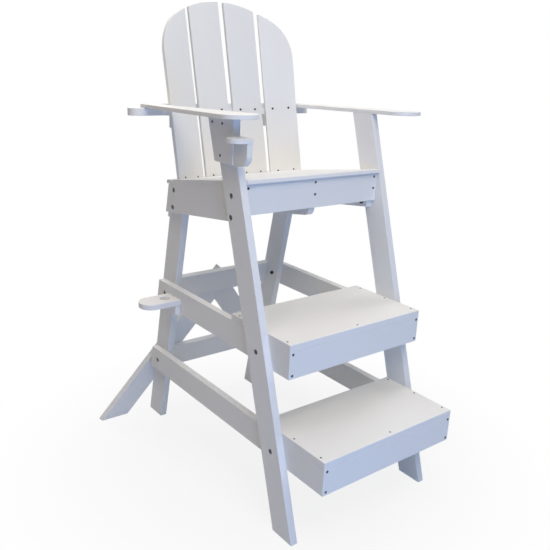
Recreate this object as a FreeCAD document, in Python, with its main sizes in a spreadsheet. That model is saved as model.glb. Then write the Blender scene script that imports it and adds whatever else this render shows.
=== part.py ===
import FreeCAD, Part
import math
import os

import Sketcher

# Tall lifeguard chair of white plastic lumber, in millimetres.
# Z is up, the chair faces -Y and left means -X, as seen from the front.
# The origin lies on the floor, below the middle of the bounding box.

Vector = FreeCAD.Vector

SIZES = (
    # Stock
    ("board_thick", 25.4),
    ("board_width", 88.9),
    ("slat_thick", 12.7),
    ("tread_thick", 22.2),
    ("plate_thick", 19.05),
    ("edge_ease", 1.0),
    ("frame_width", 609.6),
    # Side frames
    ("front_foot", -468.5),
    ("front_lean", 17.12),
    ("rear_foot", 536.3),
    ("rear_lean", 11.25),
    ("low_rail_top", 311.9),
    ("high_rail_top", 606.8),
    ("rail_setback", 12.95),
    # Treads and risers
    ("low_tread_front", -561.6),
    ("low_tread_depth", 291.0),
    ("high_tread_front", -383.3),
    ("high_tread_depth", 302.5),
    # Rear cross rails and splayed braces
    ("low_cross_bottom", 206.5),
    ("high_cross_bottom", 518.5),
    ("brace_toe", 357.0),
    ("brace_angle", 36.9),
    # Seat box
    ("seat_tilt", 8.92),
    ("apron_front", -133.3),
    ("apron_top", 1055.8),
    ("apron_depth", 95.8),
    ("seat_slat_width", 119.7),
    ("seat_slat_gap", 4.0),
    ("seat_overhang", 12.7),
    ("seat_rail_toe", 935.8),
    ("seat_rail_heel", 878.0),
    ("beam_depth", 120.6),
    ("beam_nose", 22.0),
    ("rear_apron_depth", 133.3),
    # Arms and the board that carries them
    ("arm_tilt", 1.72),
    ("arm_under", 1248.3),
    ("arm_front_centre", -172.6),
    ("arm_front_radius", 58.6),
    ("arm_rear", 418.4),
    ("arm_taper", 5.4),
    ("arm_corner", 12.0),
    ("arm_board_front", 370.4),
    ("arm_board_depth", 63.5),
    ("arm_board_half", 391.0),
    ("arm_board_horn", 262.0),
    ("tie_depth", 40.0),
    # Contoured back
    ("back_front", 307.9),
    ("back_level", 1000.0),
    ("back_lean", 12.79),
    ("back_slat_width", 127.0),
    ("centre_gap", 19.5),
    ("side_gap", 13.6),
    ("inner_turn", 1.8),
    ("outer_turn", 17.4),
    ("inner_splay", 0.19),
    ("outer_splay", 0.62),
    ("back_height", 616.0),
    ("crown_radius", 390.0),
    ("shoulder_radius", 160.0),
    ("arch_half", 282.0),
    ("foot_board_depth", 38.1),
    ("cleat_inner", 155.0),
    ("cleat_width", 80.0),
    ("cleat_depth", 32.0),
    ("cleat_drop", 44.0),
    # Shelf on the left front leg
    ("doubler_bottom", 1117.0),
    ("doubler_front", -138.0),
    ("doubler_inset", 11.0),
    ("gusset_top", 1187.0),
    ("gusset_front", -205.0),
    ("gusset_radius", 36.0),
    ("shelf_front", -207.0),
    ("shelf_left", -371.0),
    ("shelf_width", 68.0),
    ("shelf_corner", 8.0),
    # Pole plate on the left upper rail
    ("pole_top", 574.0),
    ("pole_centre", 285.0),
    ("pole_reach", 140.0),
    ("pole_offset", 39.6),
    ("pole_bore", 19.05),
    ("pole_cleat_height", 38.1),
    ("pole_cleat_half", 38.1),
    # Bolts
    ("bolt_radius", 3.97),
    ("bore_radius", 4.2),
    ("head_radius", 7.3),
    ("head_height", 5.4),
    ("counterbore_radius", 9.0),
    ("counterbore_depth", 6.0),
    ("nut_height", 6.8),
    ("bolt_tail", 3.0),
    ("seat_front_bolt", -98.2),
    ("seat_front_bolt_high", 1018.0),
    ("seat_front_bolt_low", 951.0),
    ("seat_rear_bolt_high_y", 293.4),
    ("seat_rear_bolt_high_z", 965.0),
    ("seat_rear_bolt_low_y", 300.4),
    ("seat_rear_bolt_low_z", 903.0),
    ("high_rail_front_bolt", -250.5),
    ("high_rail_rear_bolt", 361.4),
    ("high_rail_bolt_level", 565.0),
    ("low_rail_front_bolt", -343.6),
    ("low_rail_rear_bolt", 420.9),
    ("low_rail_bolt_level", 267.0),
)

doc = FreeCAD.newDocument("LifeguardChair")
sheet = doc.addObject("Spreadsheet::Sheet", "Dims")
for row, (alias, size) in enumerate(SIZES, start=1):
    sheet.set(f"A{row}", alias)
    sheet.set(f"B{row}", str(size))
    sheet.setAlias(f"B{row}", alias)
doc.recompute()


class Term:
    """A size that keeps the expression it comes from, so sketches stay bound to the sheet."""

    def __init__(self, value, text):
        self.value = float(value)
        self.text = text

    @staticmethod
    def of(item):
        return item if isinstance(item, Term) else Term(item, f"{float(item):.6f}")

    def __add__(self, other):
        other = Term.of(other)
        return Term(self.value + other.value, f"({self.text} + {other.text})")

    def __sub__(self, other):
        other = Term.of(other)
        return Term(self.value - other.value, f"({self.text} - {other.text})")

    def __mul__(self, other):
        other = Term.of(other)
        return Term(self.value * other.value, f"({self.text} * {other.text})")

    def __truediv__(self, other):
        other = Term.of(other)
        return Term(self.value / other.value, f"({self.text} / {other.text})")

    def __radd__(self, other):
        return Term.of(other) + self

    def __rsub__(self, other):
        return Term.of(other) - self

    def __rmul__(self, other):
        return Term.of(other) * self

    def __neg__(self):
        return self * -1


def dim(alias):
    return Term(sheet.get(alias), f"Dims.{alias}")


def sin(angle):
    return Term(math.sin(math.radians(angle.value)), f"sin({angle.text})")


def cos(angle):
    return Term(math.cos(math.radians(angle.value)), f"cos({angle.text})")


def tan(angle):
    return Term(math.tan(math.radians(angle.value)), f"tan({angle.text})")


def root(term):
    return Term(math.sqrt(term.value), f"sqrt({term.text})")


THICK = dim("board_thick")
WIDE = dim("board_width")
SLAT = dim("slat_thick")
PLATE = dim("plate_thick")
HALF = dim("frame_width") / 2
INNER = HALF - THICK
RAIL_INNER = HALF - 2 * THICK
REAR_INNER = HALF - 3 * THICK
LEFT, RIGHT = -1, 1
SIDES = ((LEFT, "left"), (RIGHT, "right"))

# Straight lines of the side view, each a height or a depth worked out from the sheet.
FRONT_SLOPE = tan(dim("front_lean"))
REAR_SLOPE = tan(dim("rear_lean"))
SEAT_FALL = tan(dim("seat_tilt"))
ARM_FALL = tan(dim("arm_tilt"))
SEAT_LEVEL = dim("apron_top") + SEAT_FALL * dim("apron_front")
SEAT_RISE = SLAT / cos(dim("seat_tilt"))


def front_edge(height):
    return dim("front_foot") + FRONT_SLOPE * height


def rear_edge(height):
    return dim("rear_foot") - REAR_SLOPE * height


def seat_line(depth):
    return SEAT_LEVEL - SEAT_FALL * depth


def crossing(foot, slope, level, fall):
    """Where an edge that leans from its foot meets a plane that falls to the rear."""
    depth = (foot + slope * level) / (1 + slope * fall)
    return depth, level - fall * depth


def origin_plane(body, role):
    return next(item for item in body.Origin.OriginFeatures if item.Role == role)


def tie(sketch, axis, index, end, term):
    """Bind one coordinate of a sketch point to its expression."""
    kind = "DistanceX" if axis == 0 else "DistanceY"
    number = sketch.addConstraint(Sketcher.Constraint(kind, -1, 1, index, end, term.value))
    sketch.setExpression(f"Constraints[{number}]", term.text)


def arc_between(start, end, radius, centre):
    """The arc of a given radius about a centre, with the sketch end that lies at its start."""
    first = math.atan2(start[1].value - centre[1].value, start[0].value - centre[0].value)
    last = math.atan2(end[1].value - centre[1].value, end[0].value - centre[0].value)
    turn = (last - first + math.pi) % (2 * math.pi) - math.pi
    circle = Part.Circle(Vector(centre[0].value, centre[1].value, 0), Vector(0, 0, 1), radius.value)
    if turn > 0:
        return Part.ArcOfCircle(circle, first, first + turn), 1
    return Part.ArcOfCircle(circle, last, last - turn), 2


def outline(body, name, role, corners, arcs=None):
    """A closed outline on an origin plane, straight except where arcs gives a radius and centre."""
    arcs = arcs or {}
    corners = [(Term.of(across), Term.of(up)) for across, up in corners]
    sketch = body.newObject("Sketcher::SketchObject", name)
    sketch.AttachmentSupport = [(origin_plane(body, role), "")]
    sketch.MapMode = "FlatFace"
    count = len(corners)
    starts = []
    for index, start in enumerate(corners):
        end = corners[(index + 1) % count]
        if index in arcs:
            radius, centre = arcs[index]
            edge, start_end = arc_between(start, end, radius, centre)
        else:
            edge = Part.LineSegment(
                Vector(start[0].value, start[1].value, 0), Vector(end[0].value, end[1].value, 0))
            start_end = 1
        sketch.addGeometry(edge, False)
        starts.append(start_end)
    for index in range(count):
        following = (index + 1) % count
        sketch.addConstraint(Sketcher.Constraint(
            "Coincident", index, 3 - starts[index], following, starts[following]))
    for index, (across, up) in enumerate(corners):
        tie(sketch, 0, index, starts[index], across)
        tie(sketch, 1, index, starts[index], up)
    for index, (radius, centre) in arcs.items():
        number = sketch.addConstraint(Sketcher.Constraint("Radius", index, radius.value))
        sketch.setExpression(f"Constraints[{number}]", radius.text)
    return sketch


def circles(body, name, role, centres, radius, lift=None):
    """Equal circles on an origin plane, or on a plane lifted off it."""
    sketch = body.newObject("Sketcher::SketchObject", name)
    sketch.AttachmentSupport = [(origin_plane(body, role), "")]
    sketch.MapMode = "FlatFace"
    if lift is not None:
        sketch.setExpression("AttachmentOffset.Base.z", lift.text)
    for index, (across, up) in enumerate(centres):
        centre = Vector(across.value, up.value, 0)
        sketch.addGeometry(Part.Circle(centre, Vector(0, 0, 1), radius.value), False)
        tie(sketch, 0, index, 3, across)
        tie(sketch, 1, index, 3, up)
        number = sketch.addConstraint(Sketcher.Constraint("Radius", index, radius.value))
        sketch.setExpression(f"Constraints[{number}]", radius.text)
    return sketch


def new_body(label):
    body = doc.addObject("PartDesign::Body", label)
    body.Label = label
    return body


def pad(body, sketch, length, reverse=False):
    feature = body.newObject("PartDesign::Pad", "Pad")
    feature.Profile = sketch
    feature.Reversed = reverse
    feature.setExpression("Length", length.text)
    sketch.Visibility = False
    doc.recompute()
    return feature


def cut_away(body, sketch, length=None, reverse=False):
    """A pocket that must take material off, or the build stops."""
    before = body.Tip.Shape.Volume
    feature = body.newObject("PartDesign::Pocket", "Pocket")
    feature.Profile = sketch
    feature.Reversed = reverse
    if length is None:
        feature.Type = "ThroughAll"
    else:
        feature.setExpression("Length", length.text)
    sketch.Visibility = False
    doc.recompute()
    if feature.Shape.Volume > before - 1:
        raise RuntimeError(f"{body.Label}: a pocket removed nothing")
    return feature


def ease(body):
    """Take the sharpness off every edge, as sawn and sanded plastic lumber has it."""
    base = body.Tip
    feature = body.newObject("PartDesign::Chamfer", "Ease")
    feature.Base = (base, ["Edge1"])
    feature.UseAllEdges = True
    feature.setExpression("Size", "Dims.edge_ease")
    doc.recompute()
    return feature


def round_edges(body, test, radius):
    """Fillet the edges of the tip that a test on their two ends picks out."""
    base = body.Tip
    names = []
    for number, edge in enumerate(base.Shape.Edges, start=1):
        if test(edge.Vertexes[0].Point, edge.Vertexes[-1].Point):
            names.append(f"Edge{number}")
    feature = body.newObject("PartDesign::Fillet", "Round")
    feature.Base = (base, names)
    feature.setExpression("Radius", radius.text)
    doc.recompute()
    return feature


def place(item, left=None, depth=None, height=None):
    for axis, term in (("x", left), ("y", depth), ("z", height)):
        if term is not None:
            item.setExpression(f"Placement.Base.{axis}", term.text)


def side_board(label, corners, left, thick=THICK, arcs=None):
    """A board drawn in side view and padded across the chair from its left face."""
    body = new_body(label)
    pad(body, outline(body, "SideView", "YZ_Plane", corners, arcs), thick)
    place(body, left=left)
    return body


def plan_board(label, corners, thick, arcs=None):
    """A board drawn in plan view and padded upwards."""
    body = new_body(label)
    pad(body, outline(body, "PlanView", "XY_Plane", corners, arcs), thick)
    return body


def outer_left(side, outer, thick=THICK):
    """The left face of a board whose outer face stands at a given distance from the centre."""
    return -outer if side == LEFT else outer - thick


def along(start, angle, run, rise):
    """A point reached by going along and square to a line that falls to the rear."""
    depth = start[0] + run * cos(angle) + rise * sin(angle)
    height = start[1] - run * sin(angle) + rise * cos(angle)
    return depth, height


# Bolt centres in side view: the front set heads on the legs, the rear set on the rails.
SEAT_FRONT_BOLTS = (
    (dim("seat_front_bolt"), dim("seat_front_bolt_high")),
    (dim("seat_front_bolt"), dim("seat_front_bolt_low")),
)
SEAT_REAR_BOLTS = (
    (dim("seat_rear_bolt_high_y"), dim("seat_rear_bolt_high_z")),
    (dim("seat_rear_bolt_low_y"), dim("seat_rear_bolt_low_z")),
)
HIGH_FRONT_BOLT = (dim("high_rail_front_bolt"), dim("high_rail_bolt_level"))
HIGH_REAR_BOLT = (dim("high_rail_rear_bolt"), dim("high_rail_bolt_level"))
LOW_FRONT_BOLT = (dim("low_rail_front_bolt"), dim("low_rail_bolt_level"))
LOW_REAR_BOLT = (dim("low_rail_rear_bolt"), dim("low_rail_bolt_level"))
FRONT_BOLTS = SEAT_FRONT_BOLTS + (HIGH_FRONT_BOLT, LOW_FRONT_BOLT)
REAR_BOLTS = SEAT_REAR_BOLTS + (HIGH_REAR_BOLT, LOW_REAR_BOLT)


def drill(body, centres):
    """Bolt holes straight through a side board."""
    through = circles(body, "BoltHoles", "YZ_Plane", centres, dim("bore_radius"))
    cut_away(body, through, reverse=True)


def counterbore(body, centres, side, thick=THICK):
    """Sink the bolt heads into the outer face of a side board."""
    lift = thick if side == RIGHT else None
    sketch = circles(body, "HeadSinks", "YZ_Plane", centres, dim("counterbore_radius"), lift)
    cut_away(body, sketch, dim("counterbore_depth"), reverse=side == LEFT)


def make_legs(side, word):
    run = WIDE / cos(dim("front_lean"))
    front_top = crossing(dim("front_foot"), FRONT_SLOPE, dim("arm_under"), ARM_FALL)
    back_top = crossing(dim("front_foot") + run, FRONT_SLOPE, dim("arm_under"), ARM_FALL)
    corners = [(dim("front_foot"), 0), (dim("front_foot") + run, 0), back_top, front_top]
    body = side_board(f"front_leg_{word}", corners, outer_left(side, HALF))
    ease(body)
    drill(body, FRONT_BOLTS)
    counterbore(body, FRONT_BOLTS, side)

    run = WIDE / cos(dim("rear_lean"))
    back_top = crossing(dim("rear_foot"), -REAR_SLOPE, SEAT_LEVEL, SEAT_FALL)
    front_top = crossing(dim("rear_foot") - run, -REAR_SLOPE, SEAT_LEVEL, SEAT_FALL)
    corners = [(dim("rear_foot") - run, 0), (dim("rear_foot"), 0), back_top, front_top]
    body = side_board(f"rear_leg_{word}", corners, outer_left(side, RAIL_INNER))
    ease(body)
    drill(body, REAR_BOLTS)


def rail_end(height):
    return rear_edge(height) - dim("rail_setback")


def make_rails(side, word):
    for name, front, top, bolts in (
        ("lower", dim("low_tread_front"), dim("low_rail_top"), (LOW_FRONT_BOLT, LOW_REAR_BOLT)),
        ("upper", dim("high_tread_front"), dim("high_rail_top"), (HIGH_FRONT_BOLT, HIGH_REAR_BOLT)),
    ):
        start = front + THICK
        bottom = top - WIDE
        corners = [(start, bottom), (rail_end(bottom), bottom), (rail_end(top), top), (start, top)]
        body = side_board(f"{name}_side_rail_{word}", corners, outer_left(side, INNER))
        ease(body)
        drill(body, bolts)
        counterbore(body, bolts[1:], side)

    start = dim("apron_front") + SLAT
    back_top = crossing(dim("rear_foot") - dim("rail_setback"), -REAR_SLOPE, SEAT_LEVEL, SEAT_FALL)
    heel = dim("seat_rail_heel")
    corners = [(start, dim("seat_rail_toe")), (rail_end(heel), heel), back_top, (start, seat_line(start))]
    body = side_board(f"seat_side_rail_{word}", corners, outer_left(side, INNER))
    ease(body)
    drill(body, SEAT_FRONT_BOLTS + SEAT_REAR_BOLTS)
    counterbore(body, SEAT_REAR_BOLTS, side)


def make_steps():
    """Two treads on the rails, each with a riser that closes the rail ends."""
    for name, front, depth, rail_top in (
        ("lower", dim("low_tread_front"), dim("low_tread_depth"), dim("low_rail_top")),
        ("upper", dim("high_tread_front"), dim("high_tread_depth"), dim("high_rail_top")),
    ):
        top = rail_top + dim("tread_thick")
        back = front + depth
        corners = [(front, rail_top), (back, rail_top), (back, top), (front, top)]
        ease(side_board(f"{name}_tread", corners, -INNER, 2 * INNER))
        foot = rail_top - WIDE
        corners = [(front, foot), (front + THICK, foot), (front + THICK, rail_top), (front, rail_top)]
        ease(side_board(f"{name}_riser", corners, -INNER, 2 * INNER))


def leaning(foot, angle, rise, back):
    """A point up the lean of the rear legs and square to it, towards the rear."""
    depth = foot[0] - rise * sin(angle) + back * cos(angle)
    height = foot[1] + rise * cos(angle) + back * sin(angle)
    return depth, height


def make_rear_cross_rails():
    angle = dim("rear_lean")
    for name, bottom in (("lower", dim("low_cross_bottom")), ("upper", dim("high_cross_bottom"))):
        foot = (rear_edge(bottom), bottom)
        corners = [
            foot,
            leaning(foot, angle, WIDE, Term.of(0)),
            leaning(foot, angle, WIDE, -THICK),
            leaning(foot, angle, Term.of(0), -THICK),
        ]
        ease(side_board(f"{name}_rear_cross_rail", corners, -REAR_INNER, 2 * REAR_INNER))


def make_brace(side, word):
    """A splayed brace on the rear faces of the legs, mitred to its partner at the centre."""
    body = new_body(f"rear_brace_{word}")
    slope = tan(dim("brace_angle"))
    run = WIDE / cos(dim("brace_angle"))
    inner = dim("brace_toe")
    outer = inner + run
    spare = THICK * REAR_SLOPE + 4
    corners = [
        (side * (inner + spare * slope), -spare),
        (side * (outer + spare * slope), -spare),
        (Term.of(0), outer / slope),
        (Term.of(0), inner / slope),
    ]
    pad(body, outline(body, "Elevation", "XZ_Plane", corners), THICK, reverse=True)
    margin = 10
    near = (Term.of(-margin), REAR_SLOPE * margin)
    far_depth = THICK + margin
    far = (far_depth, -(REAR_SLOPE * far_depth))
    floor_cut = [near, far, (far_depth, Term.of(-60)), (Term.of(-margin), Term.of(-60))]
    cut_away(body, outline(body, "FloorCut", "YZ_Plane", floor_cut), reverse=side == RIGHT)
    ease(body)
    body.Placement = FreeCAD.Placement(
        Vector(0, dim("rear_foot").value, 0), FreeCAD.Rotation(Vector(1, 0, 0), dim("rear_lean").value))
    place(body, depth=dim("rear_foot"))


def make_seat():
    """Two aprons, a beam, four slats that fall to the rear and the board the back stands on."""
    tilt = dim("seat_tilt")
    front = dim("apron_front")
    back = front + SLAT
    foot = dim("apron_top") - dim("apron_depth")
    corners = [(front, foot), (back, foot), (back, seat_line(back)), (front, dim("apron_top"))]
    ease(side_board("front_apron", corners, -INNER, 2 * INNER))

    drop = dim("beam_depth")
    top_end = crossing(dim("rear_foot"), -REAR_SLOPE, SEAT_LEVEL, SEAT_FALL)
    low_end = crossing(dim("rear_foot"), -REAR_SLOPE, SEAT_LEVEL - drop, SEAT_FALL)
    corners = [(back, seat_line(back) - drop), low_end, top_end, (back, seat_line(back))]
    body = side_board("seat_centre_beam", corners, -(THICK / 2))
    nose = Vector(0, back.value, (seat_line(back) - drop).value)

    def at_nose(first, last):
        return all(abs(p.y - nose.y) < 0.1 and abs(p.z - nose.z) < 0.1 for p in (first, last))

    round_edges(body, at_nose, dim("beam_nose"))
    ease(body)

    angle = dim("rear_lean")
    rise = dim("rear_apron_depth")
    head = crossing(dim("rear_foot"), -REAR_SLOPE, SEAT_LEVEL, SEAT_FALL)
    corners = [
        leaning(head, angle, -rise, Term.of(0)),
        leaning(head, angle, -rise, SLAT),
        leaning(head, angle, Term.of(0), SLAT),
        head,
    ]
    ease(side_board("rear_apron", corners, -RAIL_INNER, 2 * RAIL_INNER))

    gap = dim("seat_slat_gap")
    width = dim("seat_slat_width")
    boards = [(f"seat_slat_{index + 1}", index * (width + gap), width) for index in range(3)]
    last = 3 * (width + gap)
    foot = dim("foot_board_depth")
    boards.append(("seat_slat_4", last, width - foot - gap))
    boards.append(("back_foot_board", last + width - foot, foot))
    corner = along((front, dim("apron_top")), tilt, -dim("seat_overhang"), Term.of(0))
    for name, start, depth in boards:
        start = Term.of(start)
        end = start + depth
        corners = [
            along(corner, tilt, start, Term.of(0)),
            along(corner, tilt, end, Term.of(0)),
            along(corner, tilt, end, SLAT),
            along(corner, tilt, start, SLAT),
        ]
        ease(side_board(name, corners, -INNER, 2 * INNER))


def arm_frame(lift=0.0):
    """The plane of the arms' undersides, which falls a little to the rear."""
    turn = FreeCAD.Rotation(Vector(1, 0, 0), -dim("arm_tilt").value)
    base = Vector(0, 0, dim("arm_under").value)
    return FreeCAD.Placement(base, turn) * FreeCAD.Placement(Vector(0, 0, lift), FreeCAD.Rotation())


def make_arm(side, word):
    """A flat arm with a round nose, its inner edge straight and its outer edge tapered."""
    radius = dim("arm_front_radius")
    nose = dim("arm_front_centre")
    taper = dim("arm_taper")
    middle = INNER + radius
    tangent = (middle + radius * cos(taper), nose + radius * sin(taper))
    tail = middle + radius / cos(taper) - tan(taper) * (dim("arm_rear") - nose)
    shape = [
        (INNER, nose),
        (middle, nose - radius),
        tangent,
        (tail, dim("arm_rear")),
        (INNER, dim("arm_rear")),
    ]
    corners = [(side * across, depth) for across, depth in shape]
    centre = (side * middle, nose)
    arcs = {0: (radius, centre), 1: (radius, centre)}
    body = plan_board(f"arm_{word}", corners, SLAT, arcs)

    def at_tail(first, last):
        upright = abs(first.x - last.x) < 0.1 and abs(first.y - last.y) < 0.1
        return upright and abs(first.x - side * tail.value) < 0.1

    round_edges(body, at_tail, dim("arm_corner"))
    ease(body)
    body.Placement = arm_frame()


class BackContour:
    """The bent line of the back, seen along the slats, from which slats and boards take their place.

    The inner pair of slats stands almost flat and the outer pair is turned towards the sitter.
    Distances along the contour run from the centre of the chair.
    """

    def __init__(self):
        self.inner = dim("inner_turn")
        self.outer = dim("outer_turn")
        self.inner_start = dim("centre_gap") / 2
        self.inner_end = self.inner_start + dim("back_slat_width")
        self.outer_start = self.inner_end + dim("side_gap")
        self.outer_end = self.outer_start + dim("back_slat_width")
        middle = (self.inner + self.outer) / 2
        across = self.inner_end * cos(self.inner) + dim("side_gap") * cos(middle)
        forward = self.inner_end * sin(self.inner) + dim("side_gap") * sin(middle)
        # Where the outer slat's own line would cross distance nought.
        self.outer_across = across - self.outer_start * cos(self.outer)
        self.outer_forward = forward - self.outer_start * sin(self.outer)

    def rear_point(self, distance, outer):
        """A point on the rear faces of the right half, across and backwards."""
        angle = self.outer if outer else self.inner
        across = distance * cos(angle) + SLAT * sin(angle)
        back = SLAT * cos(angle) - distance * sin(angle)
        if outer:
            return across + self.outer_across, back - self.outer_forward
        return across, back

    def rear_corner(self):
        """Where the rear planes of an inner and an outer slat meet."""
        inner_back = SLAT / cos(self.inner)
        outer_back = SLAT / cos(self.outer) - self.outer_forward + self.outer_across * tan(self.outer)
        across = (outer_back - inner_back) / (tan(self.outer) - tan(self.inner))
        return across, inner_back - across * tan(self.inner)


def back_frame():
    """The leaning frame of the back, with its floor point at the slats' front faces."""
    turn = FreeCAD.Rotation(Vector(1, 0, 0), -dim("back_lean").value)
    return FreeCAD.Placement(Vector(0, dim("back_front").value, dim("back_level").value), turn)


def make_seat_cutter():
    """The space below the seat's top surface, where the back slats are cut off."""
    block = doc.addObject("Part::Box", "SeatSpace")
    block.setExpression("Length", "Dims.frame_width")
    block.setExpression("Width", "Dims.seat_slat_width * 4")
    block.setExpression("Height", "Dims.board_width")
    turn = FreeCAD.Rotation(Vector(1, 0, 0), -dim("seat_tilt").value)
    corner = (dim("apron_front"), dim("apron_top"))
    start = along(corner, dim("seat_tilt"), dim("seat_slat_width"), SLAT - WIDE)
    block.Placement = FreeCAD.Placement(Vector(-HALF.value, start[0].value, start[1].value), turn)
    return block


def cut_part(label, base, tool):
    """A named piece: a blank with one tool taken off it."""
    piece = doc.addObject("Part::Cut", label)
    piece.Base = base
    piece.Tool = tool
    piece.Label = label
    doc.recompute()
    return piece


def arch_template(body):
    """What lies outside the three-centred arch of the back, drawn over the whole back."""
    half = dim("arch_half")
    crown = dim("crown_radius")
    shoulder = dim("shoulder_radius")
    crown_level = dim("back_height") - crown
    shoulder_across = half - shoulder
    reach = crown - shoulder
    rise = root(reach * reach - shoulder_across * shoulder_across)
    spring = crown_level + rise
    touch_across = shoulder_across * crown / reach
    touch_level = crown_level + rise * crown / reach
    outer = half + 60
    top = dim("back_height") + 60
    corners = [
        (half, spring),
        (touch_across, touch_level),
        (-touch_across, touch_level),
        (-half, spring),
        (-outer, spring),
        (-outer, top),
        (outer, top),
        (outer, spring),
    ]
    arcs = {
        0: (shoulder, (shoulder_across, spring)),
        1: (crown, (Term.of(0), crown_level)),
        2: (shoulder, (-shoulder_across, spring)),
    }
    return outline(body, "Arch", "XZ_Plane", corners, arcs)


def make_back_slat(number, side, outer, contour, seat_space):
    """One slat: drawn in its own plane, arched on top and cut off on the seat."""
    start = contour.outer_start if outer else contour.inner_start
    angle = contour.outer if outer else contour.inner
    splay = dim("outer_splay") if outer else dim("inner_splay")
    foot = Term.of(-60)
    top = dim("back_height") + 20
    end = start + dim("back_slat_width")
    lean = tan(splay)
    corners = [
        (side * (start + lean * foot), foot),
        (side * (end + lean * foot), foot),
        (side * (end + lean * top), top),
        (side * (start + lean * top), top),
    ]
    body = new_body(f"back_slat_{number}_blank")
    pad(body, outline(body, "Elevation", "XZ_Plane", corners), SLAT, reverse=True)
    cut_away(body, arch_template(body))
    ease(body)
    across = side * contour.outer_across.value if outer else 0
    forward = contour.outer_forward.value if outer else 0
    turn = FreeCAD.Rotation(Vector(0, 0, 1), -side * angle.value)
    body.Placement = back_frame() * FreeCAD.Placement(Vector(across, -forward, 0), turn)
    cut_part(f"back_slat_{number}", body, seat_space)


def make_back_envelope(contour):
    """All that lies in front of the slats' rear faces, to cut the boards behind them to shape."""
    body = new_body("BackEnvelope")
    bend = contour.rear_corner()
    tip = contour.rear_point(contour.outer_end + 10, outer=True)
    front = Term.of(-200)
    corners = [
        (Term.of(0), SLAT / cos(contour.inner)),
        bend,
        tip,
        (tip[0], front),
        (-tip[0], front),
        (-tip[0], tip[1]),
        (-bend[0], bend[1]),
    ]
    pad(body, outline(body, "Contour", "XY_Plane", corners), dim("back_height"))
    sink = FreeCAD.Placement(Vector(0, 0, -WIDE.value), FreeCAD.Rotation())
    body.Placement = back_frame() * sink
    return body


def make_arm_board(envelope):
    """The board that carries the arms, with horns that follow the turned outer slats."""
    half = dim("arm_board_half")
    horn = dim("arm_board_horn")
    front = dim("arm_board_front")
    rear = front + dim("arm_board_depth")
    tip = front - WIDE
    end = dim("arm_board_depth") / 2
    middle = front + end
    corners = [
        (-half + end, rear), (-half, middle), (-half + end, front), (-horn, front), (-horn, tip),
        (horn, tip), (horn, front), (half - end, front), (half, middle), (half - end, rear),
    ]
    arcs = {
        0: (end, (-half + end, middle)),
        1: (end, (-half + end, middle)),
        7: (end, (half - end, middle)),
        8: (end, (half - end, middle)),
    }
    blank = plan_board("arm_board_blank", corners, THICK, arcs)
    ease(blank)
    blank.Placement = arm_frame(-THICK.value)
    cut_part("arm_board", blank, envelope)

    rear = dim("arm_rear")
    front = rear - dim("tie_depth")
    corners = [(-INNER, rear), (-INNER, front), (INNER, front), (INNER, rear)]
    tie_board = plan_board("arm_tie_board", corners, SLAT)
    ease(tie_board)
    tie_board.Placement = arm_frame()


def make_back_cleats(envelope):
    """A block under the arm board behind each outer slat."""
    inner = dim("cleat_inner")
    outer = inner + dim("cleat_width")
    rear = dim("arm_board_front") + dim("cleat_depth")
    front = rear - WIDE
    for side, word in SIDES:
        corners = [
            (side * inner, rear), (side * inner, front), (side * outer, front), (side * outer, rear)]
        blank = plan_board(f"back_cleat_{word}_blank", corners, dim("cleat_drop"))
        ease(blank)
        blank.Placement = arm_frame(-(THICK + dim("cleat_drop")).value)
        cut_part(f"back_cleat_{word}", blank, envelope)


def make_shelf():
    """An upright bracket board on the left front leg, a gusset before it and a round-ended shelf."""
    bottom = dim("doubler_bottom")
    front = dim("doubler_front")
    foot = dim("front_foot") + WIDE / cos(dim("front_lean")) - dim("doubler_inset")
    corners = [
        (front, bottom),
        (foot + FRONT_SLOPE * bottom, bottom),
        crossing(foot, FRONT_SLOPE, dim("arm_under"), ARM_FALL),
        (front, dim("arm_under") - ARM_FALL * front),
    ]
    ease(side_board("leg_doubler", corners, -(HALF + THICK)))

    high = dim("gusset_top")
    nose = dim("gusset_front")
    radius = dim("gusset_radius")
    corners = [
        (nose, high), (nose, bottom + radius), (nose + radius, bottom), (front, bottom), (front, high)]
    arcs = {1: (radius, (nose + radius, bottom + radius))}
    side_board("shelf_gusset", corners, -(HALF + (THICK + PLATE) / 2), PLATE, arcs)

    tip = dim("shelf_left")
    square = tip + dim("shelf_width")
    lip = dim("shelf_front")
    corner = dim("shelf_corner")
    round_end = (front - lip) / 2
    centre = (tip + round_end, lip + round_end)
    corners = [
        (square, front),
        (tip + round_end, front),
        (tip, lip + round_end),
        (tip + round_end, lip),
        (square - corner, lip),
        (square, lip + corner),
    ]
    arcs = {
        1: (round_end, centre),
        2: (round_end, centre),
        4: (corner, (square - corner, lip + corner)),
    }
    place(plan_board("shelf_plate", corners, SLAT, arcs), height=high)


def make_pole_plate():
    """A round-ended plate with a pole hole, on a cleat against the left upper rail."""
    root_x = -INNER
    radius = WIDE / 2
    centre_y = dim("pole_centre")
    round_x = root_x - dim("pole_reach") + radius
    corners = [
        (root_x, centre_y + radius),
        (round_x, centre_y + radius),
        (round_x - radius, centre_y),
        (round_x, centre_y - radius),
        (root_x, centre_y - radius),
    ]
    centre = (round_x, centre_y)
    body = plan_board("pole_plate", corners, PLATE, {1: (radius, centre), 2: (radius, centre)})
    ease(body)
    hole = circles(
        body, "PoleHole", "XY_Plane", [(root_x - dim("pole_offset"), centre_y)], dim("pole_bore"))
    cut_away(body, hole, reverse=True)
    place(body, height=dim("pole_top") - PLATE)

    half = dim("pole_cleat_half")
    top = dim("pole_top") - PLATE
    low = top - dim("pole_cleat_height")
    corners = [
        (centre_y - half, low), (centre_y + half, low), (centre_y + half, top), (centre_y - half, top)]
    ease(side_board("pole_plate_cleat", corners, -(INNER + PLATE), PLATE))


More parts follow.
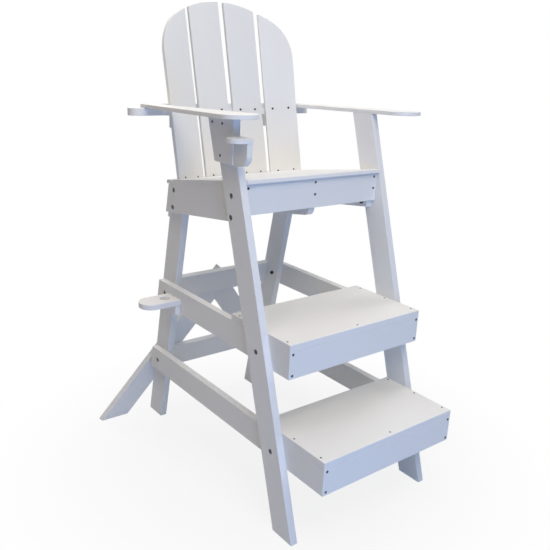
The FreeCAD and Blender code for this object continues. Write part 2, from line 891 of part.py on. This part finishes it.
def prism(name, sides, radius, height, spot):
    """A regular prism along X, from a given spot."""
    item = doc.addObject("Part::Prism", name)
    item.Polygon = sides
    item.setExpression("Circumradius", radius.text)
    item.setExpression("Height", height.text)
    item.Placement = FreeCAD.Placement(spot, FreeCAD.Rotation(Vector(0, 1, 0), 90))
    return item


def make_bolt(side, seat, centre, grip, number):
    """A hexagon bolt sunk in the outer face, through two boards, with a nut on the inner face.

    The shank and the nut's bore are twelve-sided, without threads, to keep the facets few.
    """
    inner = seat - side * grip.value
    outer = inner + side * (grip - dim("counterbore_depth")).value
    depth, height = centre[0].value, centre[1].value
    length = grip - dim("counterbore_depth") + dim("nut_height") + dim("bolt_tail")
    shank_start = outer - length.value if side == RIGHT else outer
    head_start = outer if side == RIGHT else outer - dim("head_height").value
    nut_start = inner - dim("nut_height").value if side == RIGHT else inner
    head_spot = Vector(head_start, depth, height)
    nut_spot = Vector(nut_start, depth, height)
    head = prism(f"Head{number}", 6, dim("head_radius"), dim("head_height"), head_spot)
    shank = prism(f"Shank{number}", 12, dim("bolt_radius"), length, Vector(shank_start, depth, height))
    bolt = doc.addObject("Part::Fuse", f"Bolt{number}")
    bolt.Base = head
    bolt.Tool = shank
    blank = prism(f"NutBlank{number}", 6, dim("head_radius"), dim("nut_height"), nut_spot)
    bore = prism(f"NutBore{number}", 12, dim("bolt_radius"), dim("nut_height"), nut_spot)
    nut = doc.addObject("Part::Cut", f"Nut{number}")
    nut.Base = blank
    nut.Tool = bore
    return bolt, nut


def group(label, items):
    """One node of equal, separate solids."""
    holder = doc.addObject("Part::Compound", label)
    holder.Links = items
    holder.Label = label
    doc.recompute()
    return holder


def make_hardware():
    """Bolts and nuts of the two side frames, in a front and a rear group."""
    grip = 2 * THICK
    number = 0
    for word, outer, centres in (("front", HALF, FRONT_BOLTS), ("rear", INNER, REAR_BOLTS)):
        bolts = []
        nuts = []
        for side, _ in SIDES:
            for centre in centres:
                number += 1
                bolt, nut = make_bolt(side, side * outer.value, centre, grip, number)
                bolts.append(bolt)
                nuts.append(nut)
        group(f"{word}_leg_bolts", bolts)
        group(f"{word}_leg_nuts", nuts)


def build():
    for side, word in SIDES:
        make_legs(side, word)
        make_rails(side, word)
        make_brace(side, word)
        make_arm(side, word)
    make_steps()
    make_rear_cross_rails()
    make_seat()
    contour = BackContour()
    seat_space = make_seat_cutter()
    slats = ((1, LEFT, True), (2, LEFT, False), (3, RIGHT, False), (4, RIGHT, True))
    for number, side, outer in slats:
        make_back_slat(number, side, outer, contour, seat_space)
    envelope = make_back_envelope(contour)
    make_arm_board(envelope)
    make_back_cleats(envelope)
    make_shelf()
    make_pole_plate()
    make_hardware()


NODE_NAMES = (
    "front_leg_left", "front_leg_right", "rear_leg_left", "rear_leg_right",
    "lower_side_rail_left", "lower_side_rail_right", "upper_side_rail_left", "upper_side_rail_right",
    "lower_tread", "lower_riser", "upper_tread", "upper_riser",
    "lower_rear_cross_rail", "upper_rear_cross_rail", "rear_brace_left", "rear_brace_right",
    "seat_side_rail_left", "seat_side_rail_right", "seat_centre_beam", "front_apron", "rear_apron",
    "seat_slat_1", "seat_slat_2", "seat_slat_3", "seat_slat_4",
    "back_slat_1", "back_slat_2", "back_slat_3", "back_slat_4",
    "back_foot_board", "arm_board", "arm_tie_board", "back_cleat_left", "back_cleat_right",
    "arm_left", "arm_right", "leg_doubler", "shelf_gusset", "shelf_plate",
    "pole_plate", "pole_plate_cleat",
    "front_leg_bolts", "front_leg_nuts", "rear_leg_bolts", "rear_leg_nuts",
)


def check_document():
    for item in doc.Objects:
        if "Invalid" in item.State or "Error" in item.State:
            raise RuntimeError(f"{item.Label} failed: {item.State}")


def export():
    os.makedirs("parts", exist_ok=True)
    box = FreeCAD.BoundBox()
    for name in NODE_NAMES:
        item = doc.getObjectsByLabel(name)[0]
        shape = item.Shape
        if shape.isNull() or not shape.isValid():
            raise RuntimeError(f"{name} has no valid shape")
        box.add(shape.BoundBox)
        shape.exportStep(f"parts/{name}.step")
        print(f"{name}: {len(shape.Solids)} solid(s), {shape.Volume / 1000:.1f} cm3")
    print(box)


build()
doc.recompute()
check_document()
export()
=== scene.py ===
import logging
import math
from dataclasses import dataclass, field
from enum import Enum

import bmesh
import bpy
from mathutils import Matrix, Vector


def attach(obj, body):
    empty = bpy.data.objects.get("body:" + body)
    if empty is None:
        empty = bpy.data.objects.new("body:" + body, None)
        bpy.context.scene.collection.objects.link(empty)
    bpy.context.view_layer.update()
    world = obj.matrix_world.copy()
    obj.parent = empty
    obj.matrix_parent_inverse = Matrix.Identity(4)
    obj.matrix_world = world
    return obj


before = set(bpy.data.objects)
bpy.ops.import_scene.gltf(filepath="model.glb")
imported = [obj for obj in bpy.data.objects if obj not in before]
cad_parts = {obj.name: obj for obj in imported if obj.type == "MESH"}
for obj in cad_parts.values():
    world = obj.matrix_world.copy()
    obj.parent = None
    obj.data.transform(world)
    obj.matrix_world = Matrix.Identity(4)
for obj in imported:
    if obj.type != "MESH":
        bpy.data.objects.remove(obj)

log = logging.getLogger("lifeguard_chair")
MM = 0.001
WHITE = (1.0, 1.0, 1.0, 1.0)
FORWARD = Vector((0, -1, 0))
LEFTWARD = Vector((-1, 0, 0))
UPWARD = Vector((0, 0, 1))

Triple = tuple[float, float, float]
Span = tuple[float, float]


class Side(Enum):
    """Left and right as seen from the front; the value is the sign of X."""

    LEFT = -1
    RIGHT = 1

    @property
    def word(self) -> str:
        """The word that node names end in."""
        return self.name.lower()


class Run(Enum):
    """How a board lies: the turn in degrees about X, Y and Z that lays the upright Z along it."""

    UPRIGHT = (0.0, 0.0, 0.0)
    FRONT_LEAN = (-17.12, 0.0, 0.0)
    REAR_LEAN = (11.25, 0.0, 0.0)
    BACK_LEAN = (-12.79, 0.0, 0.0)
    FORE_AND_AFT = (90.0, 0.0, 0.0)
    SEAT_FALL = (-98.92, 0.0, 0.0)
    ACROSS = (0.0, 90.0, 0.0)
    BRACE_LEFT = (11.25, 36.9, 0.0)
    BRACE_RIGHT = (11.25, -36.9, 0.0)


@dataclass(frozen=True)
class Noise:
    """The numbers of one noise pattern."""

    scale: float
    detail: float
    roughness: float = 0.5


class NodeBench:
    """Lays out the nodes of one material or of the world."""

    def __init__(self, owner: bpy.types.Material | bpy.types.World) -> None:
        """Switch the owner's nodes on.

        Args:
            owner: The material or world that gets the nodes.
        """
        owner.use_nodes = True
        self.nodes = owner.node_tree.nodes
        self.links = owner.node_tree.links

    def place(self) -> bpy.types.NodeSocket:
        """The Object coordinates."""
        return self.nodes.new("ShaderNodeTexCoord").outputs["Object"]

    def noise(self, place: bpy.types.NodeSocket, numbers: Noise) -> bpy.types.NodeSocket:
        """Add a noise pattern.

        Args:
            place: The coordinates that it follows.
            numbers: Its scale, detail and roughness.

        Returns:
            The pattern, about 0 to 1.
        """
        made = self.nodes.new("ShaderNodeTexNoise")
        made.inputs["Scale"].default_value = numbers.scale
        made.inputs["Detail"].default_value = numbers.detail
        made.inputs["Roughness"].default_value = numbers.roughness
        self.links.new(place, made.inputs["Vector"])
        return made.outputs["Fac"]

    def calculate(self, operation: str, *terms: bpy.types.NodeSocket | float) -> bpy.types.NodeSocket:
        """Add one calculation.

        Args:
            operation: Blender's name for it.
            terms: Sockets or plain numbers, in the operation's order.

        Returns:
            The result.
        """
        made = self.nodes.new("ShaderNodeMath")
        made.operation = operation
        for term, entry in zip(terms, made.inputs):
            if isinstance(term, bpy.types.NodeSocket):
                self.links.new(term, entry)
            else:
                entry.default_value = term
        return made.outputs[0]

    def tint(
            self, pattern: bpy.types.NodeSocket, span: Span, low: Triple,
            high: Triple) -> bpy.types.NodeSocket:
        """Turn a pattern into a blend of two colours.

        Args:
            pattern: The pattern.
            span: The values of the pattern at which the blend starts and ends.
            low: The colour at its start.
            high: The colour at its end.

        Returns:
            The colour.
        """
        made = self.nodes.new("ShaderNodeValToRGB")
        first, last = made.color_ramp.elements
        first.position, last.position = span
        first.color = (*low, 1.0)
        last.color = (*high, 1.0)
        self.links.new(pattern, made.inputs["Fac"])
        return made.outputs["Color"]

    def rescale(
            self, value: bpy.types.NodeSocket, source: Span, target: Span,
            interpolation: str = "LINEAR") -> bpy.types.NodeSocket:
        """Take a value from one range to another.

        Args:
            value: The value.
            source: The range that it comes from.
            target: The range that it goes to.
            interpolation: Blender's name for the curve between the two.

        Returns:
            The new value.
        """
        made = self.nodes.new("ShaderNodeMapRange")
        made.interpolation_type = interpolation
        made.inputs["From Min"].default_value, made.inputs["From Max"].default_value = source
        made.inputs["To Min"].default_value, made.inputs["To Max"].default_value = target
        self.links.new(value, made.inputs["Value"])
        return made.outputs["Result"]

    def relief(self, height: bpy.types.NodeSocket, strength: float, depth_mm: float) -> bpy.types.NodeSocket:
        """Turn a pattern into a slight unevenness.

        Args:
            height: The pattern.
            strength: How strongly it shows.
            depth_mm: How deep it is.

        Returns:
            The normal for a shader.
        """
        made = self.nodes.new("ShaderNodeBump")
        made.inputs["Strength"].default_value = strength
        made.inputs["Distance"].default_value = depth_mm * MM
        self.links.new(height, made.inputs["Height"])
        return made.outputs["Normal"]

    def background_rays(self) -> bpy.types.NodeSocket:
        """A socket that is 1 for camera, glossy and transmission rays, and 0 for the rest."""
        path = self.nodes.new("ShaderNodeLightPath")
        seen = path.outputs["Is Camera Ray"]
        for kind in ("Is Glossy Ray", "Is Transmission Ray"):
            seen = self.calculate("MAXIMUM", seen, path.outputs[kind])
        return seen

    def show_over(
            self, share: bpy.types.NodeSocket, below: bpy.types.Node, above: bpy.types.Node,
            output: str) -> None:
        """Blend two shaders into the output.

        Args:
            share: The share of the upper shader.
            below: The node of the lower shader.
            above: The node of the upper shader.
            output: The output node's name.
        """
        made = self.nodes.new("ShaderNodeMixShader")
        self.links.new(share, made.inputs["Fac"])
        self.links.new(below.outputs[0], made.inputs[1])
        self.links.new(above.outputs[0], made.inputs[2])
        self.links.new(made.outputs[0], self.nodes[output].inputs["Surface"])


@dataclass(frozen=True)
class LumberFinish:
    """White moulded plastic lumber with a faint drawn grain along each board."""

    tone: Triple = (0.80, 0.80, 0.795)
    shade: Triple = (0.775, 0.775, 0.768)
    tone_span: Span = (0.45, 0.85)
    roughness: Span = (0.50, 0.66)
    roughness_span: Span = (0.3, 0.7)
    specular: float = 0.3
    ior: float = 1.5
    grain: Noise = Noise(190.0, 4.0, 0.6)
    cloud: Noise = Noise(5.5, 3.0)
    pebble: Noise = Noise(1300.0, 2.0)
    grain_stretch: float = 26.0
    grain_share: float = 0.35
    pebble_share: float = 0.4
    seed_step: Triple = (0.37, 0.71, 0.13)
    bump_strength: float = 0.5
    bump_mm: float = 0.06

    def material(self, name: str, run: Run, seed: int) -> bpy.types.Material:
        """Make the finish for one board.

        Args:
            name: The board's name, used in the material's name.
            run: How the board lies, so that the grain follows it.
            seed: A whole number that shifts the pattern from board to board.

        Returns:
            The node material.
        """
        made = bpy.data.materials.new(f"lumber_{name}")
        bench = NodeBench(made)
        shader = bench.nodes["Principled BSDF"]
        shader.inputs["Specular IOR Level"].default_value = self.specular
        shader.inputs["IOR"].default_value = self.ior

        place = bench.place()
        along = bench.nodes.new("ShaderNodeMapping")
        along.vector_type = "TEXTURE"
        along.inputs["Location"].default_value = [step * seed for step in self.seed_step]
        along.inputs["Rotation"].default_value = [math.radians(turn) for turn in run.value]
        along.inputs["Scale"].default_value = (1.0, 1.0, self.grain_stretch)
        bench.links.new(place, along.inputs["Vector"])

        grain = bench.noise(along.outputs["Vector"], self.grain)
        cloud = bench.noise(along.outputs["Vector"], self.cloud)
        pebble = bench.noise(place, self.pebble)
        mottle = bench.calculate("MULTIPLY_ADD", grain, self.grain_share, cloud)
        height = bench.calculate("MULTIPLY_ADD", pebble, self.pebble_share, grain)
        colour = bench.tint(mottle, self.tone_span, self.shade, self.tone)
        sheen = bench.rescale(cloud, self.roughness_span, self.roughness)
        normal = bench.relief(height, self.bump_strength, self.bump_mm)
        bench.links.new(colour, shader.inputs["Base Color"])
        bench.links.new(sheen, shader.inputs["Roughness"])
        bench.links.new(normal, shader.inputs["Normal"])
        return made


@dataclass(frozen=True)
class SteelFinish:
    """Dark coated steel of the bolts, nuts and screws, worn lighter in spots."""

    coat: Triple = (0.045, 0.043, 0.046)
    worn: Triple = (0.130, 0.125, 0.125)
    worn_span: Span = (0.5, 0.8)
    metallic: float = 0.6
    roughness: float = 0.42
    wear: Noise = Noise(420.0, 5.0)
    bump_strength: float = 0.25
    bump_mm: float = 0.05

    def material(self, name: str) -> bpy.types.Material:
        """Make the finish, which all the hardware shares.

        Args:
            name: The material's name.

        Returns:
            The node material.
        """
        made = bpy.data.materials.new(name)
        bench = NodeBench(made)
        shader = bench.nodes["Principled BSDF"]
        shader.inputs["Metallic"].default_value = self.metallic
        shader.inputs["Roughness"].default_value = self.roughness
        wear = bench.noise(bench.place(), self.wear)
        colour = bench.tint(wear, self.worn_span, self.coat, self.worn)
        normal = bench.relief(wear, self.bump_strength, self.bump_mm)
        bench.links.new(colour, shader.inputs["Base Color"])
        bench.links.new(normal, shader.inputs["Normal"])
        return made


@dataclass
class Workshop:
    """Hands out finishes, dresses CAD nodes and turns finished shapes into pieces."""

    lumber: LumberFinish = LumberFinish()
    steel: SteelFinish = SteelFinish()
    dark_steel: bpy.types.Material = field(init=False)
    boards: int = 0

    def __post_init__(self) -> None:
        """Make the one steel finish that all the hardware shares."""
        self.dark_steel = self.steel.material("dark_coated_steel")

    def dress_board(self, node: str, run: Run) -> None:
        """Give a CAD board its own grain.

        Args:
            node: The CAD node's name.
            run: How the board lies.
        """
        self.boards += 1
        self._assign(node, self.lumber.material(node, run, self.boards))
        log.info("board %s dressed", node)

    def dress_hardware(self, node: str) -> None:
        """Give CAD bolts or nuts the dark steel finish."""
        self._assign(node, self.dark_steel)
        log.info("hardware %s dressed", node)

    @staticmethod
    def _assign(node: str, finish: bpy.types.Material) -> None:
        """Make one finish the only one of a CAD node."""
        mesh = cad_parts[node].data
        mesh.materials.clear()
        mesh.materials.append(finish)

    def piece(self, name: str, shape: bmesh.types.BMesh, finish: bpy.types.Material) -> None:
        """Turn a finished shape into a piece that rides on the chair.

        Args:
            name: The piece's name.
            shape: The shape, in place in the row frame; it is freed here.
            finish: The piece's material.
        """
        mesh = bpy.data.meshes.new(name)
        bmesh.ops.recalc_face_normals(shape, faces=shape.faces)
        shape.to_mesh(mesh)
        shape.free()
        mesh.materials.append(finish)
        made = bpy.data.objects.new(name, mesh)
        bpy.context.scene.collection.objects.link(made)
        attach(made, "root")
        log.info("piece %s: %d faces", name, len(mesh.polygons))


def facing(spot: Vector, normal: Vector, size: float = 1.0) -> Matrix:
    """Place something that is drawn upright at a spot, standing out along a normal.

    Args:
        spot: Where it sits, in metres.
        normal: The way that it stands out.
        size: Its size, as a share of the size that it is drawn at.

    Returns:
        The matrix that takes it there.
    """
    turn = normal.to_track_quat("Z", "Y").to_matrix().to_4x4()
    return Matrix.Translation(spot) @ turn @ Matrix.Scale(size, 4)


@dataclass(frozen=True)
class WoodScrew:
    """A dark pan head with a six-lobed recess, almost flush with the board."""

    radius_mm: float = 4.3
    height_mm: float = 0.9
    recess_mm: float = 1.9
    sides: int = 24
    taper: float = 0.97
    wall_share: float = 0.6
    dome_share: float = 0.22
    lobes: int = 6
    lobe_depth: float = 0.16
    well_depth: float = 0.8

    def add_to(self, shape: bmesh.types.BMesh, place: Matrix) -> None:
        """Model one screw head: a low wall, a dome and a well sunk into it.

        Args:
            shape: The shape that gets the head.
            place: Where the head's seat goes, with Z outwards.
        """
        radius, height, recess = self.radius_mm * MM, self.height_mm * MM, self.recess_mm * MM
        wall = height * self.wall_share
        earlier = set(shape.verts)
        head = bmesh.ops.create_cone(
            shape, cap_ends=True, segments=self.sides, radius1=radius, radius2=radius * self.taper,
            depth=wall, matrix=Matrix.Translation((0, 0, wall / 2)))
        faces = {face for vert in head["verts"] for face in vert.link_faces}
        top = max(faces, key=lambda face: face.calc_center_median().z)
        bmesh.ops.inset_region(shape, faces=[top], thickness=radius * self.dome_share)
        bmesh.ops.translate(shape, verts=top.verts, vec=(0, 0, height - wall))
        crown = radius * (self.taper - self.dome_share)
        bmesh.ops.inset_region(shape, faces=[top], thickness=crown - recess)
        for corner in top.verts:
            angle = math.atan2(corner.co.y, corner.co.x)
            grow = 1 + self.lobe_depth * math.cos(self.lobes * angle)
            corner.co.x *= grow
            corner.co.y *= grow
        well = bmesh.ops.extrude_discrete_faces(shape, faces=[top])
        bmesh.ops.translate(shape, verts=well["faces"][0].verts, vec=(0, 0, -height * self.well_depth))
        grown = [vert for vert in shape.verts if vert not in earlier]
        bmesh.ops.transform(shape, matrix=place, verts=grown)


@dataclass
class ScrewSet:
    """A named set of screw heads on one part of the chair."""

    name: str
    places: list[Matrix]
    screw: WoodScrew = WoodScrew()

    def build(self, shop: Workshop) -> None:
        """Model the whole set as one piece."""
        shape = bmesh.new()
        for place in self.places:
            self.screw.add_to(shape, place)
        shop.piece(self.name, shape, shop.dark_steel)


@dataclass
class SideFrames:
    """The leaning legs and the rails bolted between them."""

    def build(self, shop: Workshop) -> None:
        """Dress the legs, rails, bolts and nuts."""
        for side in Side:
            shop.dress_board(f"front_leg_{side.word}", Run.FRONT_LEAN)
            shop.dress_board(f"rear_leg_{side.word}", Run.REAR_LEAN)
            shop.dress_board(f"lower_side_rail_{side.word}", Run.FORE_AND_AFT)
            shop.dress_board(f"upper_side_rail_{side.word}", Run.FORE_AND_AFT)
            shop.dress_board(f"seat_side_rail_{side.word}", Run.SEAT_FALL)
        for node in ("front_leg_bolts", "front_leg_nuts", "rear_leg_bolts", "rear_leg_nuts"):
            shop.dress_hardware(node)


@dataclass(frozen=True)
class Step:
    """One step: its riser's front face, its tread's top and its side screws, in millimetres."""

    name: str
    front: float
    top: float
    setbacks: Triple


@dataclass
class Steps:
    """The two treads that climb to the seat, each on a riser; millimetres."""

    steps: tuple[Step, ...] = (
        Step("lower", -561.6, 334.1, (29.0, 150.0, 272.0)),
        Step("upper", -383.3, 629.0, (27.7, 149.7, 271.7)),
    )
    riser_screw_x: Span = (-267.0, 269.0)
    riser_drops: Span = (31.5, 99.5)
    tread_screw_x: float = 268.5
    middle_screw_x: float = 5.0
    middle_setback: float = 16.0
    tread_head: float = 0.76

    def build(self, shop: Workshop) -> None:
        """Dress the boards and add their screws."""
        for step in self.steps:
            shop.dress_board(f"{step.name}_tread", Run.ACROSS)
            shop.dress_board(f"{step.name}_riser", Run.ACROSS)
        for step in self.steps:
            ScrewSet(f"{step.name}_step_screws", self._riser(step) + self._tread(step)).build(shop)

    def _riser(self, step: Step) -> list[Matrix]:
        """The places of the screws in a riser's front face."""
        return [
            facing(Vector((across, step.front, step.top - drop)) * MM, FORWARD)
            for across in self.riser_screw_x for drop in self.riser_drops]

    def _tread(self, step: Step) -> list[Matrix]:
        """The places of the screws in a tread's top: three at each side and one at the front."""
        spots = [
            (side.value * self.tread_screw_x, step.front + setback)
            for side in Side for setback in step.setbacks]
        spots.append((self.middle_screw_x, step.front + self.middle_setback))
        return [
            facing(Vector((across, depth, step.top)) * MM, UPWARD, self.tread_head)
            for across, depth in spots]


@dataclass
class RearBracing:
    """The rear cross rails and the pair of splayed braces behind them; millimetres and degrees."""

    foot: float = 536.3
    lean: float = 11.25
    thick: float = 25.4
    upper_height: float = 563.0
    lower_height: float = 251.0
    upper_x: Span = (30.0, 78.0)
    lower_x: Span = (196.0, 222.0)
    stagger: float = 14.0

    def build(self, shop: Workshop) -> None:
        """Dress the boards and add the screws that hold the braces."""
        shop.dress_board("lower_rear_cross_rail", Run.ACROSS)
        shop.dress_board("upper_rear_cross_rail", Run.ACROSS)
        shop.dress_board("rear_brace_left", Run.BRACE_LEFT)
        shop.dress_board("rear_brace_right", Run.BRACE_RIGHT)
        places = []
        for side in Side:
            for height, (inner, outer) in (
                    (self.upper_height, self.upper_x), (self.lower_height, self.lower_x)):
                places.append(self._screw(side.value * inner, height - self.stagger))
                places.append(self._screw(side.value * outer, height + self.stagger))
        ScrewSet("rear_brace_screws", places).build(shop)

    def _screw(self, across: float, level: float) -> Matrix:
        """The place of a screw on the braces' leaning rear face."""
        lean = math.radians(self.lean)
        normal = Vector((0, math.cos(lean), math.sin(lean)))
        spot = Vector((across, self.foot - math.tan(lean) * level, level))
        return facing((spot + normal * self.thick) * MM, normal)


@dataclass
class Seat:
    """The aprons, the beam and the four slats that fall to the rear; millimetres."""

    front: float = -133.3
    screw_x: Triple = (-266.7, 0.0, 266.7)
    screw_levels: Span = (1043.5, 1004.0)

    def build(self, shop: Workshop) -> None:
        """Dress the boards and add the front apron's screws."""
        for node in ("front_apron", "rear_apron"):
            shop.dress_board(node, Run.ACROSS)
        shop.dress_board("seat_centre_beam", Run.SEAT_FALL)
        for number in range(1, 5):
            shop.dress_board(f"seat_slat_{number}", Run.ACROSS)
        shop.dress_board("back_foot_board", Run.ACROSS)
        places = [
            facing(Vector((across, self.front, level)) * MM, FORWARD)
            for across in self.screw_x for level in self.screw_levels]
        ScrewSet("front_apron_screws", places).build(shop)


@dataclass
class Backrest:
    """The arched and contoured back: four slats, the outer two turned inwards; millimetres and degrees."""

    front: float = 307.9
    level: float = 1000.0
    lean: float = 12.79
    slat_width: float = 127.0
    centre_gap: float = 19.5
    side_gap: float = 13.6
    inner_turn: float = 1.8
    outer_turn: float = 17.4
    screw_shares: Span = (0.25, 0.76)
    seat_height: float = 3.5
    seat_rise: float = 0.045
    arm_height: float = 236.0
    foot_head: float = 0.76

    def build(self, shop: Workshop) -> None:
        """Dress the slats and add their screws."""
        for number in range(1, 5):
            shop.dress_board(f"back_slat_{number}", Run.BACK_LEAN)
        places = []
        for side in Side:
            for outer in (False, True):
                places += self._slat_screws(side, outer)
        ScrewSet("back_slat_screws", places).build(shop)

    def _slat_screws(self, side: Side, outer: bool) -> list[Matrix]:
        """Place the screws of one slat.

        Args:
            side: Which half of the back.
            outer: True for the turned slat at the edge.

        Returns:
            The screws' places on the slat's front face, at the seat and at the arm board.
        """
        inner, turned = math.radians(self.inner_turn), math.radians(self.outer_turn)
        start = self.centre_gap / 2
        across = forward = 0.0
        angle = inner
        if outer:
            end = start + self.slat_width
            middle = (inner + turned) / 2
            start = end + self.side_gap
            across = end * math.cos(inner) + self.side_gap * math.cos(middle) - start * math.cos(turned)
            forward = end * math.sin(inner) + self.side_gap * math.sin(middle) - start * math.sin(turned)
            angle = turned
        lean = Matrix.Rotation(-math.radians(self.lean), 4, "X")
        seat = Matrix.Translation(Vector((0, self.front, self.level)) * MM) @ lean
        slat = Matrix.Translation(Vector((side.value * across, -forward, 0)) * MM)
        plane = seat @ slat @ Matrix.Rotation(-side.value * angle, 4, "Z")
        normal = (plane.to_3x3() @ FORWARD).normalized()
        rows = ((self.seat_height + self.seat_rise * forward, self.foot_head), (self.arm_height, 1.0))
        places = []
        for share in self.screw_shares:
            sideways = side.value * (start + share * self.slat_width)
            for height, size in rows:
                places.append(facing(plane @ (Vector((sideways, 0, height)) * MM), normal, size))
        return places


@dataclass
class Arms:
    """The flat arms, the board that carries them, its tie board and the cleats below."""

    def build(self, shop: Workshop) -> None:
        """Dress the arms and the boards that carry them."""
        for side in Side:
            shop.dress_board(f"arm_{side.word}", Run.FORE_AND_AFT)
            shop.dress_board(f"back_cleat_{side.word}", Run.ACROSS)
        shop.dress_board("arm_board", Run.ACROSS)
        shop.dress_board("arm_tie_board", Run.ACROSS)


@dataclass
class LegShelf:
    """The doubler on the left front leg, with the gusset and small shelf in front; millimetres."""

    face: float = -330.2
    screws: tuple[Span, ...] = ((-27.6, 1231.0), (-81.0, 1231.0), (-72.6, 1137.0))

    def build(self, shop: Workshop) -> None:
        """Dress the boards and add the doubler's screws."""
        shop.dress_board("leg_doubler", Run.UPRIGHT)
        shop.dress_board("shelf_gusset", Run.UPRIGHT)
        shop.dress_board("shelf_plate", Run.ACROSS)
        places = [
            facing(Vector((self.face, depth, height)) * MM, LEFTWARD)
            for depth, height in self.screws]
        ScrewSet("leg_doubler_screws", places).build(shop)


@dataclass
class PolePlate:
    """The round-ended plate with a pole hole on the left upper rail, and its cleat."""

    def build(self, shop: Workshop) -> None:
        """Dress the plate and the cleat below it."""
        shop.dress_board("pole_plate", Run.ACROSS)
        shop.dress_board("pole_plate_cleat", Run.FORE_AND_AFT)


@dataclass(frozen=True)
class Lamp:
    """A soft square lamp; metres and watts."""

    name: str
    spot: Triple
    size: float
    power: float
    colour: Triple = (1.0, 1.0, 1.0)

    def hang(self, aim: Vector) -> None:
        """Hang the lamp in the studio.

        Args:
            aim: The point that it faces.
        """
        data = bpy.data.lights.new(self.name, "AREA")
        data.size = self.size
        data.energy = self.power
        data.color = self.colour
        lamp = bpy.data.objects.new(self.name, data)
        lamp.location = self.spot
        lamp.visible_camera = False
        lamp.rotation_euler = (aim - Vector(self.spot)).to_track_quat("-Z", "Y").to_euler()
        bpy.context.scene.collection.objects.link(lamp)


@dataclass
class Studio:
    """A white floor, soft light and the camera; metres and radians."""

    eye: Triple = (-1.44418, -1.76187, 1.42041)
    yaw: float = 0.6715
    pitch: float = -0.3103
    roll: float = 0.0463
    focal_px: float = 678.396
    frame_px: float = 550.0
    sensor_mm: float = 36.0
    far_clip: float = 100.0
    aim: Triple = (0.0, 0.0, 0.75)
    floor_radius: float = 14.0
    floor_sides: int = 64
    floor_drop: float = 0.0005
    floor_tone: Triple = (0.66, 0.66, 0.66)
    # Painted shade: how much the white glow dims near the chair, and between which distances from its
    # middle.
    shadow_share: float = 0.16
    shadow_reach: Span = (0.35, 1.15)
    fill: float = 0.06
    lamps: tuple[Lamp, ...] = (
        Lamp("key_lamp", (-0.7, -2.2, 3.3), 2.0, 62.0, (1.0, 0.955, 0.88)),
        Lamp("sky_lamp", (-0.9, -2.7, 0.45), 1.6, 31.0, (0.09, 0.38, 1.0)),
        Lamp("top_lamp", (-0.4, 0.2, 4.2), 3.0, 46.0, (0.95, 0.95, 1.0)),
        Lamp("left_lamp", (-3.2, -0.6, 3.6), 2.6, 23.0, (1.0, 0.78, 0.58)),
        Lamp("right_lamp", (3.9, 0.6, 3.2), 2.4, 54.0),
        Lamp("rear_lamp", (0.3, 3.9, 2.4), 2.6, 68.0),
    )

    def build(self) -> None:
        """Set up the whole studio."""
        self._camera()
        self._floor()
        self._world()
        for lamp in self.lamps:
            lamp.hang(Vector(self.aim))
        bpy.context.scene.view_settings.view_transform = "Standard"

    def _camera(self) -> None:
        """Stand the camera at the photograph's viewing angle."""
        toward = Vector((
            math.sin(self.yaw) * math.cos(self.pitch),
            math.cos(self.yaw) * math.cos(self.pitch),
            math.sin(self.pitch)))
        level = Vector((math.cos(self.yaw), -math.sin(self.yaw), 0.0))
        upright = level.cross(toward)
        right = level * math.cos(self.roll) + upright * math.sin(self.roll)
        up = upright * math.cos(self.roll) - level * math.sin(self.roll)
        turn = Matrix((right, up, -toward)).transposed().to_4x4()
        data = bpy.data.cameras.new("camera")
        data.lens = self.focal_px / self.frame_px * self.sensor_mm
        data.sensor_width = self.sensor_mm
        data.clip_end = self.far_clip
        camera = bpy.data.objects.new("camera", data)
        camera.matrix_world = Matrix.Translation(self.eye) @ turn
        bpy.context.scene.collection.objects.link(camera)
        bpy.context.scene.camera = camera

    def _floor(self) -> None:
        """Lay the white floor."""
        shape = bmesh.new()
        bmesh.ops.create_circle(shape, cap_ends=True, segments=self.floor_sides, radius=self.floor_radius)
        bmesh.ops.translate(shape, verts=shape.verts, vec=(0, 0, -self.floor_drop))
        mesh = bpy.data.meshes.new("studio_floor")
        shape.to_mesh(mesh)
        shape.free()
        mesh.materials.append(self._floor_finish())
        floor = bpy.data.objects.new("studio_floor", mesh)
        bpy.context.scene.collection.objects.link(floor)

    def _floor_finish(self) -> bpy.types.Material:
        """Plain white with painted shade: the white glow dims to a soft grey pool near the chair's feet, and
        the chair's real shadow shows through there.
        """
        made = bpy.data.materials.new("studio_floor")
        bench = NodeBench(made)
        bench.nodes.remove(bench.nodes["Principled BSDF"])
        matt = bench.nodes.new("ShaderNodeBsdfDiffuse")
        matt.inputs["Color"].default_value = (*self.floor_tone, 1.0)
        glow = bench.nodes.new("ShaderNodeEmission")
        glow.inputs["Color"].default_value = WHITE
        glow.inputs["Strength"].default_value = 1.0
        reach = bench.nodes.new("ShaderNodeVectorMath")
        reach.operation = "LENGTH"
        bench.links.new(bench.place(), reach.inputs[0])
        # Painted shade: less white glow and more lit floor within these distances of the chair's middle.
        painted_shade_fade = bench.rescale(
            reach.outputs["Value"], self.shadow_reach, (1.0 - self.shadow_share, 1.0), "SMOOTHSTEP")
        share = bench.calculate("MULTIPLY", bench.background_rays(), painted_shade_fade)
        bench.show_over(share, matt, glow, "Material Output")
        return made

    def _world(self) -> None:
        """Fill the shadows, and show plain white behind the chair and in its sheen."""
        world = bpy.data.worlds.new("studio")
        bpy.context.scene.world = world
        bench = NodeBench(world)
        fill = bench.nodes["Background"]
        fill.inputs["Color"].default_value = WHITE
        fill.inputs["Strength"].default_value = self.fill
        white = bench.nodes.new("ShaderNodeBackground")
        white.inputs["Color"].default_value = WHITE
        bench.show_over(bench.background_rays(), fill, white, "World Output")


def main() -> None:
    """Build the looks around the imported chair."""
    logging.basicConfig(level=logging.INFO, format="%(message)s")
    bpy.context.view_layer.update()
    shop = Workshop()
    parts = (
        SideFrames(), Steps(), RearBracing(), Seat(), Backrest(), Arms(), LegShelf(), PolePlate())
    for part in parts:
        part.build(shop)
        log.info("%s done", type(part).__name__)
    Studio().build()


if __name__ == "__main__":
    main()
